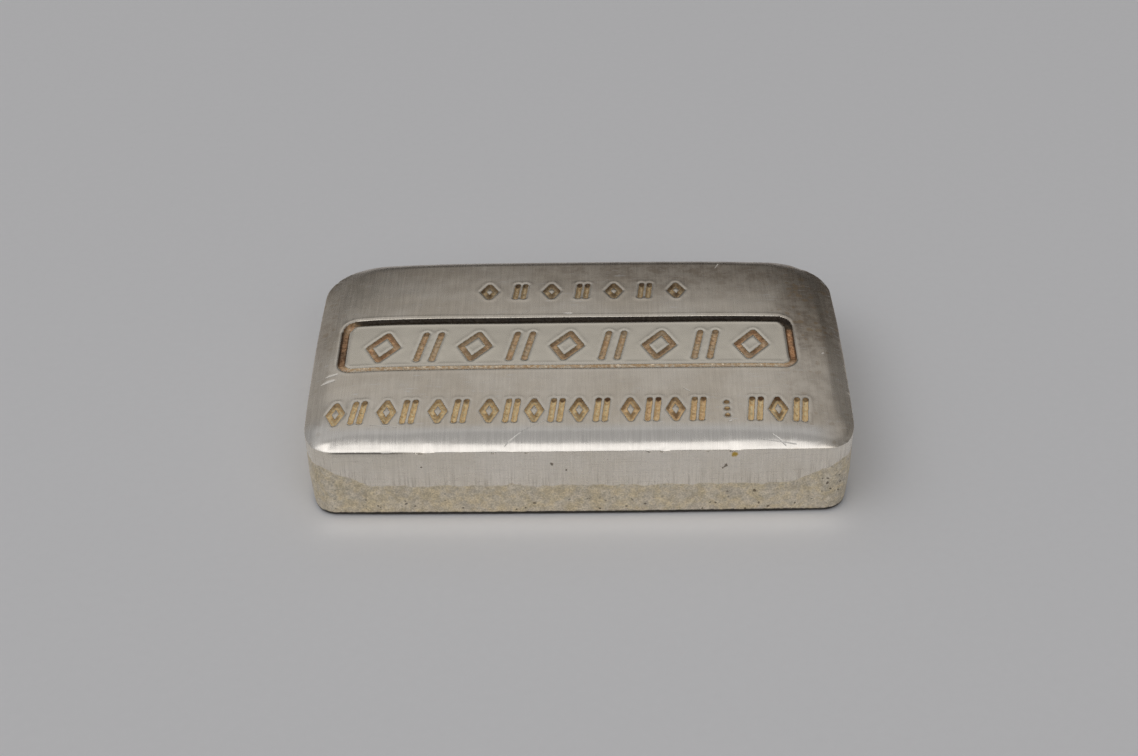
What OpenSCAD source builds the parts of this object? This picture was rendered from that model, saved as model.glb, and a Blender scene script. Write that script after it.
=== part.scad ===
// Cast and pressed silver bar, ten troy ounces, with a plain stamped frame in its crowned top.
// Frame of reference: +X along the length, +Y towards the back side, +Z up,
// origin on the floor under the middle of the bar.

/* [Size] */
// Length over the ends
bar_l = 65.8; // [60:0.2:80]
// Width over the middle of the front and back sides
bar_w = 41.3; // [36:0.2:50]
// Height of the sharp rim above the floor
rim_h = 9.87; // [8:0.01:13]

/* [Sides] */
// Height of the rough cast band that runs round the foot
band_h = 4.2; // [3:0.1:6]
// How far a side leans in from the rim down to the band
side_lean = 0.1; // [0.05:0.05:0.4]
// How far the cast band draws in, from its top down to the bottom edge
band_draw = 0.3; // [0.1:0.1:1.2]
// Radius of the rounded bottom edge
foot_r = 0.9; // [0.5:0.1:1.2]

/* [Outline seen from above] */
// How far the long sides draw in from their middle to the ends of the bar
side_bow = 0.2; // [0:0.05:0.5]
// Angle that half of each slightly bowed end turns through
end_turn = 1.5; // [1:0.5:6]
// Angle of the slow curve between a bowed end and the corner
bend_turn = 20; // [10:1:30]
// Radius of that slow curve, beside the two front corners
front_bend_r = 9.6; // [6:0.2:18]
// Radius of the two front corners
front_corner_r = 3.3; // [2.8:0.1:6]
// Radius of that slow curve, beside the two back corners
back_bend_r = 8; // [6:0.2:18]
// Radius of the two back corners, which are worn rounder
back_corner_r = 8; // [4:0.1:9]

/* [Top] */
// Radius of the rolled edge between the rim and the crown
roll_r = 3.3; // [2.5:0.1:3.3]
// Slope of the rolled edge where it leaves the rim
rim_tilt = 55; // [40:1:60]
// Slope of the rolled edge where the crown takes over
crown_tilt = 5; // [3:1:10]
// How far the crown falls from the middle of the bar to the front and back
side_fall = 0.38; // [0.3:0.01:0.9]
// How far the crown falls from the middle of the bar to each end
end_fall = 0.58; // [0.3:0.01:1.2]
// How much further it falls at the two front corners
front_corner_fall = 0.3; // [0:0.05:0.5]
// How much further it falls at the two back corners
back_corner_fall = 0.7; // [0:0.05:0.8]

/* [Stamped frame] */
// Length over the outside of the frame groove
frame_l = 56.6; // [45:0.2:58]
// Width over the outside of the frame groove
frame_w = 11.6; // [9:0.2:16]
// Corner radius of the outside of the groove
frame_r = 2; // [1.5:0.1:3]
// Width of the groove
groove_w = 1; // [0.6:0.1:1.4]
// Depth of the groove along the middle line of the crown
groove_d = 0.5; // [0.3:0.05:0.7]
// Where the punch landed, along the bar from its middle
frame_x = -1.4; // [-2:0.1:2]
// Where the punch landed, across the bar from its middle
frame_y = -0.3; // [-2:0.1:2]

/* [Hidden] */
$fn = 96;

silver = [0.75, 0.73, 0.69];

// Points along each stretch of a quarter of the outline, and rings up the foot and the roll
end_steps = 4;
bend_steps = 4;
corner_steps = 8;
side_steps = 10;
foot_steps = 4;
roll_steps = 8;
// The crown is carried inwards by copies of its outer ring, drawn smaller by these shares
crown_shares = [0.95, 0.89, 0.82, 0.72, 0.55, 0.35, 0.15];

// Where the height of the groove's floor is taken from the crown
floor_reach = frame_l / 2 + 1;
floor_steps = 16;
floor_stations = [for (i = [0:floor_steps]) floor_reach * (2 * i / floor_steps - 1)];

// The rolled edge and the crown
roll_w = roll_r * (sin(rim_tilt) - sin(crown_tilt));
roll_rise = roll_r * (cos(crown_tilt) - cos(rim_tilt));
top_h = rim_h + roll_rise + side_fall;
crown_half_w = bar_w / 2 - roll_w;
crown_half_l = bar_l / 2 - roll_w;

// The outline: a slightly bowed end, a slow bend, the corner and a long side
bend_start = end_turn;
corner_start = end_turn + bend_turn;

// The cast band: how far it leans from upright, and the middle of the bottom rounding
band_lean = atan(band_draw / (band_h - foot_r));
foot_inset = side_lean + band_draw + foot_r * cos(band_lean);

// Points on an arc, without its last one
function arc(centre, r, from, turn, steps) =
    [for (i = [0:steps - 1]) let (a = from + turn * i / steps) centre + r * [cos(a), sin(a)]];

// Radius of the bowed end that leads into a bend of radius b and a corner of radius c
function end_r(b, c) = (bar_w / 2 - b * (sin(corner_start) - sin(bend_start))
    - c * (1 - sin(corner_start))) / sin(bend_start);

// Draws the long sides in towards the ends of the bar
function bowed(p) = [p.x, p.y * (1 - side_bow / (bar_w / 2) * pow(p.x / (bar_l / 2), 2))];

// A quarter of the outline from the +X end to the +Y side, moved inwards by inset
function quarter(inset, b, c) =
    let (end_centre = [bar_l / 2 - end_r(b, c), 0],
         bend_centre = end_centre + (end_r(b, c) - b) * [cos(bend_start), sin(bend_start)],
         corner_centre = bend_centre + (b - c) * [cos(corner_start), sin(corner_start)])
    concat(
        arc(end_centre, end_r(b, c) - inset, 0, bend_start, end_steps),
        arc(bend_centre, b - inset, bend_start, bend_turn, bend_steps),
        arc(corner_centre, c - inset, corner_start, 90 - corner_start, corner_steps),
        [for (i = [0:side_steps]) [corner_centre.x * (1 - i / side_steps), bar_w / 2 - inset]]
    );

// The whole outline, turning the same way round as the quarter
function outline(inset) =
    let (back = quarter(inset, back_bend_r, back_corner_r),
         front = quarter(inset, front_bend_r, front_corner_r),
         last = len(back) - 1,
         points = concat(
            back,
            [for (i = [last - 1:-1:0]) [-back[i].x, back[i].y]],
            [for (i = [1:last]) [-front[i].x, -front[i].y]],
            [for (i = [last - 1:-1:1]) [front[i].x, -front[i].y]]
         ))
    [for (p = points) bowed(p)];

// Height of the crown over a point of the floor: an even arch across, and a top that stays
// level along the bar until it drops at the ends, most of all at the back corners
function crown(p) =
    let (across = pow(p.y / crown_half_w, 2),
         along = abs(p.x) / crown_half_l,
         corner_fall = p.y < 0 ? front_corner_fall : back_corner_fall)
        top_h - side_fall * across - end_fall * pow(along, 8) - corner_fall * across * pow(along, 4);

// A level ring, a ring that has climbed a share of the way from the rim to the crown, and a
// ring on the crown itself
function level_ring(inset, z) = [for (p = outline(inset)) [p.x, p.y, z]];
function roll_ring(inset, share) =
    [for (p = outline(inset)) [p.x, p.y, (1 - share) * rim_h + share * crown(p)]];
function crown_ring(share) =
    [for (p = share * outline(roll_w)) [p.x, p.y, crown(p)]];

foot_rings = [for (i = [0:foot_steps])
    let (a = -90 + (90 - band_lean) * i / foot_steps)
        level_ring(foot_inset - foot_r * cos(a), foot_r + foot_r * sin(a))];
band_ring = level_ring(side_lean, band_h);
roll_rings = [for (i = [0:roll_steps])
    let (a = rim_tilt + (crown_tilt - rim_tilt) * i / roll_steps)
        roll_ring(roll_r * (sin(rim_tilt) - sin(a)), roll_r * (cos(a) - cos(rim_tilt)) / roll_rise)];
crown_rings = [for (share = crown_shares) crown_ring(share)];

// A closed skin over rings that all have the same number of points, from the floor up
module loft(rings, peak) {
    n = len(rings[0]);
    last = len(rings) - 1;
    points = concat([for (ring = rings) each ring], [peak]);
    floor_face = [[for (i = [0:n - 1]) i]];
    skin_faces = [for (k = [0:last - 1], i = [0:n - 1])
        let (a = k * n + i, b = k * n + (i + 1) % n) each [[a, a + n, b], [b, a + n, b + n]]];
    peak_faces = [for (i = [0:n - 1])
        [last * n + i, len(points) - 1, last * n + (i + 1) % n]];
    polyhedron(points, concat(floor_face, skin_faces, peak_faces));
}

// A plain rectangle with rounded corners
module frame_outline(l, w, r) {
    for (x = [-1, 1], y = [-1, 1])
        translate([x * (l / 2 - r), y * (w / 2 - r)]) circle(r = r);
    square([l, w - 2 * r], center = true);
    square([l - 2 * r, w], center = true);
}

// The frame groove: its floor is level along the middle and falls towards the ends as the
// crown does
module frame_groove() {
    translate([frame_x, frame_y, 0])
        difference() {
            linear_extrude(height = top_h + 1)
                difference() {
                    frame_outline(frame_l, frame_w, frame_r);
                    frame_outline(frame_l - 2 * groove_w, frame_w - 2 * groove_w, frame_r - groove_w);
                }
            rotate([90, 0, 0])
                linear_extrude(height = frame_w + 2, center = true)
                    polygon(concat(
                        [[-floor_reach, -1]],
                        [for (x = floor_stations) [x, crown([x + frame_x, 0]) - groove_d]],
                        [[floor_reach, -1]]
                    ));
        }
}

module bar() {
    color(silver)
        difference() {
            loft(concat(foot_rings, [band_ring], roll_rings, crown_rings), [0, 0, top_h]);
            frame_groove();
        }
}

bar();
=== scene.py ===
import math

import bmesh
import bpy
import numpy as np
from mathutils import Matrix, Vector, noise


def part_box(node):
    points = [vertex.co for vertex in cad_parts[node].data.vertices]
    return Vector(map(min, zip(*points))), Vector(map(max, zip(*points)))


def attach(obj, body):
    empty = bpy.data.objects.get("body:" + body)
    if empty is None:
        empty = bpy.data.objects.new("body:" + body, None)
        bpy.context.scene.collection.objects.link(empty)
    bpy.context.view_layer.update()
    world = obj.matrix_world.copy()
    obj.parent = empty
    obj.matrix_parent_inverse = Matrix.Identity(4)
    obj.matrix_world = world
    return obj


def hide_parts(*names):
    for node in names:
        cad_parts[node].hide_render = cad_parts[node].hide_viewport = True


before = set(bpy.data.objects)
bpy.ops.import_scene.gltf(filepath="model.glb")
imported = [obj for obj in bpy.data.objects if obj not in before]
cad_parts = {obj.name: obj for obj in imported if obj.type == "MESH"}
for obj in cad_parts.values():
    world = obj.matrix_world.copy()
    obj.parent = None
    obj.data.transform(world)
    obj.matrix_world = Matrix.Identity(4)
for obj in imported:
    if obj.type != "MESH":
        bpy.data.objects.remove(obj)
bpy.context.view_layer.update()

mm = 0.001
low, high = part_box("bar")
barLength = (high.x - low.x) / mm
barWidth = (high.y - low.y) / mm
topHeight = high.z / mm

# The bar's own shape, in millimetres and degrees; the first part has the same values as the solid's
# source. A pair of numbers is where something starts and where it is there in full
barShape = {
    "rimHeight": 9.87,              # sharp rim above the floor
    "bandHeight": 4.2,              # below this the side draws in
    "sideLean": 0.1,
    "bandDraw": 0.3,
    "sideBow": 0.2,
    "endTurn": 1.5,
    "bendTurn": 20,
    "frontBend": 9.6,
    "frontCorner": 3.3,
    "backBend": 8.0,
    "backCorner": 8.0,
    "rollRadius": 3.3,
    "rimTilt": 55,
    "crownTilt": 5,
    "sideFall": 0.38,
    "endFall": 0.58,
    "frontCornerFall": 0.3,
    "backCornerFall": 0.7,

    "edgeRadius": 0.35,             # bottom edge, and how far it stands clear of the table
    "edgeLift": 0.15,
    # the underside comes down to the table further in: distance from the foot, share of that lift
    "underside": ((0.7, 0.8), (1.8, 0.35), (3.2, 0.0)),
    "footLift": 0.1,                # the underside curls up a little more at the corners
    "footLiftX": (22.0, 31.0), "footLiftY": (8.0, 19.0),
    "flatTilt": 43,                 # slope of the roll near the front corners, softened into the crown
    "flatBlend": 0.25,
    "flatX": (12.0, 24.0), "flatY": (-14.0, -17.0),
    "leftLift": 0.25,               # the crown stays a little higher at the left front corner
    "leftLiftX": (-21.0, -28.0), "leftLiftY": (-11.0, -17.0),
    "topCell": 0.3,                 # mesh cells: on the top, and down the sides
    "sideCell": 0.42,
    "arrisDrop": 0.12,              # from the rim to the first ring of the side
    "arrisBevel": 0.05,
    "wobble": 0.03,                 # unevenness of the pressed top and of the rim
    "rimWobble": 0.06,
    "calmInset": 2.5, "rimReach": 0.8,
    "nickDepth": 0.12,              # the back of the rim has fewer nicks
    "nickNoise": (0.28, 0.5), "nickFewerY": (-5.0, 10.0),
    "burr": 0.14,                   # how far the side hides under the rolled-over rim, at the left
    "burrRings": 3,
    "burrStart": (-30.0, -28.0), "burrEnd": (-19.0, -23.0), "burrFront": -15.0,
    "rimShadeY": (-14.0, -16.0),        # the painted shade under it, and how far below the rim it starts
    "rimShadeDrop": (0.5, 0.25),
    "bandEdge": 4.75,               # upper edge of the cast skin, which climbs at the corners
    "bandRise": 2.8,
    "bandRiseX": (23.5, 31.5), "bandRiseY": (10.0, 18.0),
    "castLoss": 0.02,               # unevenness of the cast skin and of the pressed side
    "castRough": 0.08,
    "sideWaves": 0.02,
    "sideInset": 1.4,               # the underside lies further in than this
}


def smooth(value, start, end):
    t = np.clip((value - start) / (end - start), 0.0, 1.0)
    return t * t * (3 - 2 * t)


# Slow noise between about -1 and 1 at every point
def noiseAt(x, y, z):
    return np.array([noise.noise(point) for point in zip(*np.broadcast_arrays(x, y, z))])


# Radii, centres and turns of the arcs that make a quarter of the outline
def arcPlan(bend, corner):
    turnA = math.radians(barShape["endTurn"])
    turnB = math.radians(barShape["endTurn"] + barShape["bendTurn"])
    endRadius = (barWidth / 2 - bend * (math.sin(turnB) - math.sin(turnA))
                 - corner * (1 - math.sin(turnB))) / math.sin(turnA)
    endX = barLength / 2 - endRadius
    bendX = endX + (endRadius - bend) * math.cos(turnA)
    bendY = (endRadius - bend) * math.sin(turnA)
    cornerX = bendX + (bend - corner) * math.cos(turnB)
    cornerY = bendY + (bend - corner) * math.sin(turnB)
    return {"end": (endRadius, endX, 0.0), "bend": (bend, bendX, bendY),
            "corner": (corner, cornerX, cornerY), "turns": (turnA, turnB)}


frontArcs = arcPlan(barShape["frontBend"], barShape["frontCorner"])
backArcs = arcPlan(barShape["backBend"], barShape["backCorner"])
farOff = 99.0  # further than any point of the bar


def bowShare(x):
    return 1 - barShape["sideBow"] / (barWidth / 2) * (x / (barLength / 2)) ** 2


# How far a point lies inside the outline, and the way out of the bar from there
def insetAndWay(x, y):
    ax, ay = np.abs(x), np.abs(y / bowShare(x))
    best = np.full(x.shape, farOff)
    wayX, wayY = np.zeros(x.shape), np.ones(x.shape)
    for arcs, here in ((frontArcs, y < 0), (backArcs, y >= 0)):
        turnA, turnB = arcs["turns"]
        side = np.where(here & (ax <= arcs["corner"][1]), barWidth / 2 - ay, farOff)
        best = np.minimum(best, side)
        # the first and the last arc reach a little past the quarter
        for name, start, stop in (("end", -1.0, turnA), ("bend", turnA, turnB), ("corner", turnB, 1.6)):
            radius, cx, cy = arcs[name]
            turn = np.arctan2(ay - cy, ax - cx)
            inset = radius - np.hypot(ax - cx, ay - cy)
            inset = np.where(here & (turn >= start) & (turn <= stop) & (ax > cx), inset, farOff)
            nearer = inset < best
            best = np.where(nearer, inset, best)
            wayX = np.where(nearer, np.cos(turn), wayX)
            wayY = np.where(nearer, np.sin(turn), wayY)
    return best, wayX * np.sign(x), wayY * np.sign(y)


rimSin = math.sin(math.radians(barShape["rimTilt"]))
rimCos = math.cos(math.radians(barShape["rimTilt"]))
rollWidth = barShape["rollRadius"] * (rimSin - math.sin(math.radians(barShape["crownTilt"])))
rollRise = barShape["rollRadius"] * (math.cos(math.radians(barShape["crownTilt"])) - rimCos)


# Height of the plain top: the crown, and the rolled edge that climbs to it from the rim
def topLevel(x, y):
    s = barShape
    across = (y / (barWidth / 2 - rollWidth)) ** 2
    along = np.abs(x) / (barLength / 2 - rollWidth)
    cornerFall = np.where(y < 0, s["frontCornerFall"], s["backCornerFall"])
    crown = (topHeight - s["sideFall"] * across - s["endFall"] * along ** 8
             - cornerFall * across * along ** 4)
    crown = crown + s["leftLift"] * smooth(x, *s["leftLiftX"]) * smooth(y, *s["leftLiftY"])
    inset = np.clip(insetAndWay(x, y)[0], 0, rollWidth)
    sine = rimSin - inset / s["rollRadius"]
    share = s["rollRadius"] * (np.sqrt(1 - sine ** 2) - rimCos) / rollRise
    rolled = (1 - share) * s["rimHeight"] + share * crown
    # along the front the roll is hammered flatter towards both ends of the bar: an even slope,
    # blended softly into the crown
    slope = s["rimHeight"] + inset * math.tan(math.radians(s["flatTilt"]))
    flattened = -s["flatBlend"] * np.logaddexp(-slope / s["flatBlend"], -crown / s["flatBlend"])
    flattened = np.maximum(flattened, s["rimHeight"])
    share = smooth(np.abs(x), *s["flatX"]) * smooth(y, *s["flatY"])
    return rolled + share * np.where(inset < rollWidth, flattened - rolled, 0)


# Where the end of the outline is, at a distance from the long middle line
def endEdge(ay, arcs):
    turnA, turnB = arcs["turns"]
    onEnd, onBend, onCorner = (cx + np.sqrt(np.maximum(radius ** 2 - (ay - cy) ** 2, 0))
                               for radius, cx, cy in (arcs["end"], arcs["bend"], arcs["corner"]))
    endTop = arcs["end"][0] * math.sin(turnA)
    bendTop = arcs["bend"][2] + arcs["bend"][0] * math.sin(turnB)
    return np.where(ay < endTop, onEnd, np.where(ay < bendTop, onBend, onCorner))


# Wraps a flat grid, -1 to 1 both ways, into the outline: its edge becomes the rim
def wrapGrid(u, v):
    x, y = np.abs(u) * barLength / 2, np.abs(v) * barWidth / 2
    newX, newY = x.copy(), y.copy()
    for arcs, here in ((frontArcs, v < 0), (backArcs, v >= 0)):
        corner = arcs["corner"][0]
        boxX, boxY = barLength / 2 - corner, barWidth / 2 - corner
        dx, dy = x - boxX, y - boxY
        turned = (dx > 0) & (dy > 0)
        pull = np.where(turned, np.maximum(dx, dy) / np.maximum(np.hypot(dx, dy), 1e-9), 1.0)
        ax = np.where(turned, boxX + dx * pull, x)
        ay = np.where(turned, boxY + dy * pull, y)
        bulge = np.sqrt(np.maximum(corner ** 2 - (ay - boxY) ** 2, 0))
        plain = np.where(ay > boxY, boxX + bulge, barLength / 2)
        ax = ax - (plain - endEdge(ay, arcs)) * (ax / plain) ** 4
        newX = np.where(here, ax, newX)
        newY = np.where(here, ay, newY)
    newX = newX * np.sign(u)
    return newX, newY * np.sign(v) * bowShare(newX)


# The plain frame, and what all punch marks share
stampWork = {
    "frameLength": 56.6, "frameWidth": 11.6, "frameRadius": 2.0,
    "grooveWidth": 1.0, "grooveDepth": 0.5, "frameX": -1.4, "frameY": -0.3,
    "frontRunY": (-3.0, -5.0),      # the punch tipped back: it bit less along the front
    "frontRunDepth": 0.2, "frontRunNarrow": 0.12,
    "rearRunY": (3.0, 4.2),
    "rearRunShift": 0.3, "rearRunWiden": 0.14,
    "amberPlace": (-27.2, 4.6),     # one amber stain in the groove, and its spread squared
    "amberSpread": 1.3,
    "rightRedX": (26.0, 27.2), "rightRedY": (3.5, 2.5), "leftRedX": (-26.5, -27.4),
    "wall": 0.13,                   # plan width of the groove's walls
    "markWall": 0.24,
    "lip": 0.03,                    # metal pushed up beside each mark: height, distance and spread
    "lipPlace": 0.35, "lipSpread": 0.16,
    "shoulder": 0.3,                # plan width of the rounding at the edge of each mark
    "grooveShoulder": 0.12, "markShoulder": 0.08,
    "backReach": 0.62,              # how far the dark of a mark's back wall reaches into it
    "backFainter": 0.25, "backFainterX": (5.0, -12.0), "backFainterY": (-9.0, -11.0),
    "panelX": (27.4, 26.6), "panelY": (5.0, 4.2),   # inside the frame, from its middle
}

# The rows of punch marks: lozenges and slanting pairs by turns, given as half their width, half their
# height and their lean, and plain dots where a group has one mark only. Then the half width of a
# stroke and its depth, and how golden, red (and redder over some stretches), filmed and shaded it is
markRows = (
    # along the front
    {"x": -29.0, "y": -14.4, "pitch": 2.68, "gap": 0.75, "groups": (2, 2, 2, 6, 4, 1, 3),
     "lozenge": (0.82, 1.95, 0.0), "slants": (0.52, 1.95, 0.2), "dots": (-1.25, 0.0, 1.25),
     "stroke": 0.36, "depth": 0.17, "gold": 0.95, "red": 0.1, "redder": 0.55,
     "redderX": ((3.0, 17.0),), "film": 1.0, "shade": 1.0},
    # inside the frame
    {"x": -24.2, "y": -1.1, "pitch": 5.7, "gap": 0.0, "groups": (9,),
     "lozenge": (1.75, 2.75, 0.45), "slants": (0.95, 2.75, 0.5),
     "stroke": 0.40, "depth": 0.16, "gold": 0.7, "red": 0.45, "redder": 0.85,
     "redderX": ((-26.0, -22.0), (19.0, 23.0)), "film": 0.85, "shade": 0.6},
    # at the back
    {"x": -11.4, "y": 11.6, "pitch": 4.0, "gap": 0.0, "groups": (7,),
     "lozenge": (0.8, 1.5, 0.0), "slants": (0.5, 1.5, 0.15),
     "stroke": 0.36, "depth": 0.3, "gold": 0.62, "red": 0.15, "redder": 0.15,
     "redderX": (), "film": 0.85, "shade": 0.9},
)


def lozenge(half, tall, lean):
    corners = [(lean, tall), (half, 0), (-lean, -tall), (-half, 0)]
    return list(zip(corners, corners[1:] + corners[:1]))


def slants(half, tall, lean):
    return [((-half - lean, -tall), (-half + lean, tall)), ((half - lean, -tall), (half + lean, tall))]


# Every punch mark as strokes: two ends, the row that it belongs to, and how red it is
def punchStrokes():
    strokes = []
    for row in markRows:
        x, turn = row["x"], 0
        for count in row["groups"]:
            for _ in range(count):
                if count == 1:
                    parts = [((0, dy), (0, dy)) for dy in row["dots"]]
                elif turn % 2:
                    parts = slants(*row["slants"])
                else:
                    parts = lozenge(*row["lozenge"])
                redder = any(start < x < stop for start, stop in row["redderX"])
                for (ax, ay), (bx, by) in parts:
                    strokes.append(((x + ax, row["y"] + ay), (x + bx, row["y"] + by), row,
                                    row["redder"] if redder else row["red"]))
                turn += 1
                x += row["pitch"]
            x += row["gap"]
    return strokes


strokes = punchStrokes()


# The frame's groove: signed distance to it (negative inside), its depth, and its patina. It is near
# black at the back, gold at the front and copper red at the right end
def grooveField(x, y):
    w = stampWork
    half = w["grooveWidth"] / 2
    radius = w["frameRadius"] - half
    x, y = x - w["frameX"], y - w["frameY"]
    qx = np.abs(x) - (w["frameLength"] / 2 - half - radius)
    qy = np.abs(y) - (w["frameWidth"] / 2 - half - radius)
    ring = np.hypot(np.maximum(qx, 0), np.maximum(qy, 0)) + np.minimum(np.maximum(qx, qy), 0) - radius
    inFront, behind = smooth(y, *w["frontRunY"]), smooth(y, *w["rearRunY"])
    edge = (np.abs(ring + w["rearRunShift"] * behind) - half - w["rearRunWiden"] * behind
            + w["frontRunNarrow"] * inFront)
    deepest = w["grooveDepth"] + (w["frontRunDepth"] - w["grooveDepth"]) * inFront
    sink = smooth(-edge, 0, w["wall"])
    shoulder = np.where(edge > 0, np.clip(1 - edge / w["shoulder"], 0, 1) ** 2, 1.0)
    depth = deepest * ((1 - w["grooveShoulder"]) * sink + w["grooveShoulder"] * shoulder)
    amberX, amberY = w["amberPlace"]
    amber = np.exp(-((x - amberX) ** 2 + (y - amberY) ** 2) / w["amberSpread"])
    red = 0.9 * smooth(x, *w["rightRedX"]) * smooth(y, *w["rightRedY"])
    return {"edge": edge, "depth": depth, "sink": sink,
            "gold": np.maximum(0.95 * inFront, amber),
            "red": np.maximum(red, 0.45 * smooth(x, *w["leftRedX"]) + 0.3 * amber),
            "film": 1 - 0.25 * inFront,
            "shade": 1 - 0.85 * np.maximum(inFront, amber)}


# The same for the nearest mark of all, be it the groove or a stroke, and the lip beside it
def stampField(x, y):
    w = stampWork
    field = grooveField(x, y)
    for (ax, ay), (bx, by), row, red in strokes:
        dx, dy = bx - ax, by - ay
        t = np.clip(((x - ax) * dx + (y - ay) * dy) / max(dx * dx + dy * dy, 1e-9), 0, 1)
        edge = np.hypot(x - ax - t * dx, y - ay - t * dy) - row["stroke"]
        into = np.clip(-edge / row["stroke"], 0, 1)
        bite = 0.35 * np.sqrt(1 - (1 - into) ** 2) + 0.65 * smooth(-edge, 0, w["markWall"])
        shoulder = np.where(edge > 0, np.clip(1 - edge / w["shoulder"], 0, 1) ** 2, 1.0)
        depth = row["depth"] * ((1 - w["markShoulder"]) * bite + w["markShoulder"] * shoulder)
        field["sink"] = np.maximum(field["sink"], bite)
        field["depth"] = np.maximum(field["depth"], depth)
        nearer = edge < field["edge"]
        nearest = {"edge": edge, "gold": row["gold"], "red": red, "film": row["film"], "shade": row["shade"]}
        for name, value in nearest.items():
            field[name] = np.where(nearer, value, field[name])
    field["lip"] = w["lip"] * np.exp(-((field["edge"] - w["lipPlace"]) / w["lipSpread"]) ** 2)
    return field


# How far a point of the side lies above the ragged edge of the cast band
def aboveCastBand(x, y, z):
    s = barShape
    corners = smooth(np.abs(x), *s["bandRiseX"]) * smooth(np.abs(y), *s["bandRiseY"])
    ragged = noiseAt(x * 0.3, y * 0.3, 4.0) * 0.35 + noiseAt(x * 1.1, y * 1.1, 9.0) * 0.2
    return z - (s["bandEdge"] + s["bandRise"] * corners + ragged)


# Where the rim is rolled over and hides a little of the front, towards its left end
def burrReach(x):
    return smooth(x, *barShape["burrEnd"]) * smooth(x, *barShape["burrStart"])


# Painted shade under the rolled-over rim, as a dark band on the side just below it
def shadeUnderRim(x, y, z):
    start, full = barShape["rimShadeDrop"]
    upper = smooth(z, barShape["rimHeight"] - start, barShape["rimHeight"] - full)
    return upper * burrReach(x) * smooth(y, *barShape["rimShadeY"])


def coordsOf(verts):
    return np.array([v.co for v in verts]).reshape(-1, 3)


def placeVerts(verts, coords):
    for v, co in zip(verts, coords):
        v.co = co


# The side's profile, from the rim to the underside: (inset from the outline, height). The
# underside is a little hollow towards its edges, so the bar stands clear of the table there
def sideProfile():
    s = barShape
    rim, band, edge, lift = s["rimHeight"], s["bandHeight"], s["edgeRadius"], s["edgeLift"]
    foot = s["sideLean"] + s["bandDraw"]
    steps = max(2, round((rim - band) / s["sideCell"]))
    profile = [(0.0, rim - s["arrisDrop"])]
    profile += [(s["sideLean"] * i / steps, rim - (rim - band) * i / steps) for i in range(1, steps + 1)]
    steps = max(2, round((band - lift - edge) / s["sideCell"]))
    for i in range(1, steps + 1):
        t = i / steps
        profile.append((s["sideLean"] + s["bandDraw"] * t, band + (lift + edge - band) * t))
    edgeSteps = 5
    for i in range(1, edgeSteps + 1):
        a = math.pi / 2 * i / edgeSteps
        profile.append((foot + edge * (1 - math.cos(a)), lift + edge * (1 - math.sin(a))))
    return profile + [(foot + edge + further, lift * share) for further, share in s["underside"]]


# The top as a fine grid, with finer cells wherever a mark or the groove lies
def makeTop(bm):
    s = barShape
    cellsX, cellsY = round(barLength / s["topCell"]), round(barWidth / s["topCell"])
    bmesh.ops.create_grid(bm, x_segments=cellsX, y_segments=cellsY, size=1)
    flat = coordsOf(bm.verts)
    x, y = wrapGrid(flat[:, 0], flat[:, 1])
    placeVerts(bm.verts, np.column_stack((x, y, np.zeros(len(x)))))
    print("top grid:", len(bm.faces), "cells")

    centres = np.array([f.calc_center_median() for f in bm.faces])
    near = np.abs(stampField(centres[:, 0], centres[:, 1])["edge"] + 0.1) < 0.5
    bm.faces.index_update()
    edges = [e for e in bm.edges if any(near[f.index] for f in e.link_faces)]
    bmesh.ops.subdivide_edges(bm, edges=edges, cuts=1, use_grid_fill=True)
    print("after the finer cells:", len(bm.faces))

    # slow waves over the whole top, quicker ones along the rim, and nicks in it
    x, y = coordsOf(bm.verts)[:, :2].T
    marks = stampField(x, y)
    inset = insetAndWay(x, y)[0]
    wave = noiseAt(x * 0.11, y * 0.11, 1.0) + 0.35 * noiseAt(x * 0.5, y * 0.5, 6.0)
    rimWave = noiseAt(x * 0.25, y * 0.25, 12.0) + 0.6 * noiseAt(x * 0.9, y * 0.9, 3.0)
    nicks = smooth(noiseAt(x * 0.7, y * 0.7, 21.0), *s["nickNoise"])
    nicks *= 1 - 0.7 * smooth(y, *s["nickFewerY"])
    z = topLevel(x, y) - marks["depth"] + marks["lip"]
    z += smooth(inset, 0.0, s["calmInset"]) * (wave - 0.5) * s["wobble"]
    z += (1 - smooth(inset, 0.0, s["rimReach"])) * ((rimWave - 0.6) * s["rimWobble"] - nicks * s["nickDepth"])
    placeVerts(bm.verts, np.column_stack((x, y, z)))


# The sides and the foot, ring by ring from the rim
def makeSides(bm, rim):
    s = barShape
    ring, before, hiddenBefore = rim, 0.0, 0.0
    for level, (inward, height) in enumerate(sideProfile()):
        made = bmesh.ops.extrude_edge_only(bm, edges=ring)["geom"]
        verts = [g for g in made if isinstance(g, bmesh.types.BMVert)]
        ring = [g for g in made if isinstance(g, bmesh.types.BMEdge)]
        x, y = coordsOf(verts)[:, :2].T
        _, wayX, wayY = insetAndWay(x, y)
        hidden = s["burr"] * max(0.0, 1 - level / s["burrRings"])
        underBurr = burrReach(x) * (y < s["burrFront"])
        step = inward - before + underBurr * (hidden - hiddenBefore)
        corners = smooth(np.abs(x), *s["footLiftX"]) * smooth(np.abs(y), *s["footLiftY"])
        lift = s["footLift"] * corners * max(0.0, 1 - height / s["bandHeight"]) * (height > 0)
        placeVerts(verts, np.column_stack((x - wayX * step, y - wayY * step, height + lift)))
        before, hiddenBefore = inward, hidden
    bmesh.ops.edgeloop_fill(bm, edges=ring)


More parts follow.
